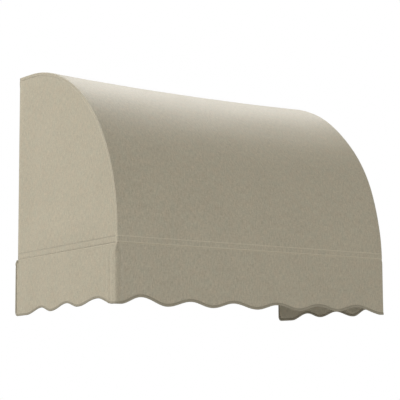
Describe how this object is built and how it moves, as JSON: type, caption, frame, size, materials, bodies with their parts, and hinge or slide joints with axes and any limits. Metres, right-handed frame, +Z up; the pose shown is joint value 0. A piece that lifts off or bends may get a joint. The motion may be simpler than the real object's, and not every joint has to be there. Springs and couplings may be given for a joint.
{
  "type": "fabric awning",
  "caption": "Fixed convex window awning: beige canvas stretched over a quarter-round tube frame, with side panels and a scalloped, tape-bound valance, screwed to a wall",
  "frame": {"origin": "middle of the wall face of the centre header bracket, so the wall is the plane Y = 0", "axes": "+X to the right of someone who faces the wall, +Y into the wall, +Z up"},
  "size_m": [1.0286, 0.6266, 0.7834],
  "materials": {
    "canvas": "matte",
    "binding_tape": "matte",
    "webbing": "matte",
    "tube_aluminium": "satin",
    "strip_aluminium": "satin",
    "connector_plastic": "matte",
    "bracket_zinc": "satin",
    "screw_zinc": "satin"
  },
  "bodies": {
    "root": {"header_rail": "tube_aluminium", "front_rail": "tube_aluminium", "bow_left": "tube_aluminium", "post_left": "tube_aluminium", "arm_left": "tube_aluminium", "corner_top_left": "connector_plastic", "corner_foot_left": "connector_plastic", "corner_front_left": "connector_plastic", "bracket_foot_left": "bracket_zinc", "screw_foot_left_1": "screw_zinc", "screw_foot_left_2": "screw_zinc", "side_panel_left": "canvas", "clamp_strip_left": "strip_aluminium", "screw_post_left_1": "screw_zinc", "screw_post_left_2": "screw_zinc", "screw_post_left_3": "screw_zinc", "bow_right": "tube_aluminium", "post_right": "tube_aluminium", "arm_right": "tube_aluminium", "corner_top_right": "connector_plastic", "corner_foot_right": "connector_plastic", "corner_front_right": "connector_plastic", "bracket_foot_right": "bracket_zinc", "screw_foot_right_1": "screw_zinc", "screw_foot_right_2": "screw_zinc", "side_panel_right": "canvas", "clamp_strip_right": "strip_aluminium", "screw_post_right_1": "screw_zinc", "screw_post_right_2": "screw_zinc", "screw_post_right_3": "screw_zinc", "bracket_header_1": "bracket_zinc", "screw_bracket_1": "screw_zinc", "bracket_header_2": "bracket_zinc", "screw_bracket_2": "screw_zinc", "bracket_header_3": "bracket_zinc", "screw_bracket_3": "screw_zinc", "cover_panel": "canvas", "clamp_strip_header": "strip_aluminium", "screw_header_1": "screw_zinc", "screw_header_2": "screw_zinc", "screw_header_3": "screw_zinc", "screw_header_4": "screw_zinc", "valance": "canvas", "valance_binding": "binding_tape", "strap_front_1": "webbing", "strap_front_2": "webbing", "strap_front_3": "webbing", "strap_left_1": "webbing", "strap_left_2": "webbing", "strap_right_1": "webbing", "strap_right_2": "webbing"}
  },
  "joints": []
}
